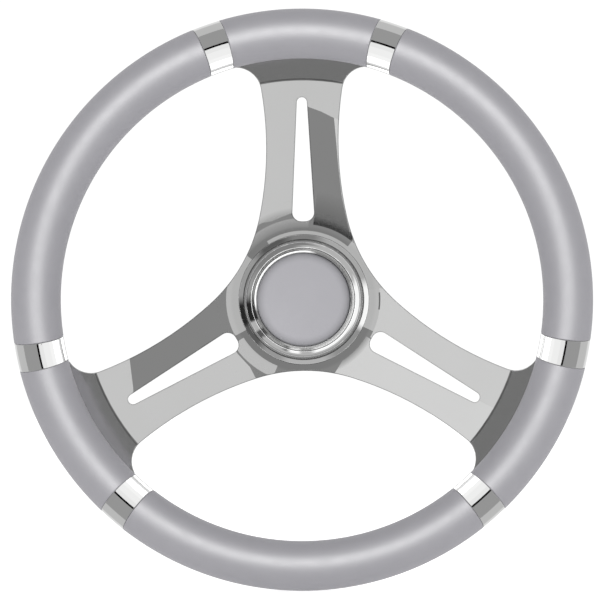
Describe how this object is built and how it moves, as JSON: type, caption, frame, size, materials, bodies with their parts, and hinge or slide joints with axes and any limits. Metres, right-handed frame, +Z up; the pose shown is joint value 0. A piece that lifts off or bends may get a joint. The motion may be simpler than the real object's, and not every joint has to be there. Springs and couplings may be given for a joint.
{
  "type": "boat steering wheel",
  "caption": "Boat steering wheel with slotted, dished polished steel arms, a soft grey grip with polished bands, and a round capped hub on a tapered bore.",
  "frame": {"origin": "centre of the hub's back face, at the wide end of the tapered bore", "axes": "+Y along the wheel's axis, out of the tapered bore's mouth, towards the helm; -Y towards the driver; +Z up, along the upright arm; +X to the driver's right"},
  "size_m": [0.35, 0.0918, 0.35],
  "materials": {
    "polished_stainless": "mirror-polished stainless steel",
    "plain_stainless": "turned or drawn stainless steel, not polished",
    "grip_grey": "smooth silver-grey polyurethane with a soft sheen",
    "disc_grey": "fine satin grey",
    "black_rubber": "plain black rubber"
  },
  "bodies": {
    "root": {"spoke_spider": "polished_stainless", "rim_core_tube": "plain_stainless", "hub_boss": "plain_stainless", "bezel_ring": "polished_stainless", "cap_cup": "polished_stainless", "cap_disc": "disc_grey", "cap_o_ring": "black_rubber", "hub_screw_1": "plain_stainless", "hub_screw_2": "plain_stainless", "hub_screw_3": "plain_stainless", "hub_screw_4": "plain_stainless", "hub_screw_5": "plain_stainless", "hub_screw_6": "plain_stainless", "grip_at_arm_1": "grip_grey", "grip_between_1": "grip_grey", "grip_at_arm_2": "grip_grey", "grip_between_2": "grip_grey", "grip_at_arm_3": "grip_grey", "grip_between_3": "grip_grey", "band_1": "polished_stainless", "band_2": "polished_stainless", "band_3": "polished_stainless", "band_4": "polished_stainless", "band_5": "polished_stainless", "band_6": "polished_stainless"}
  },
  "joints": []
}
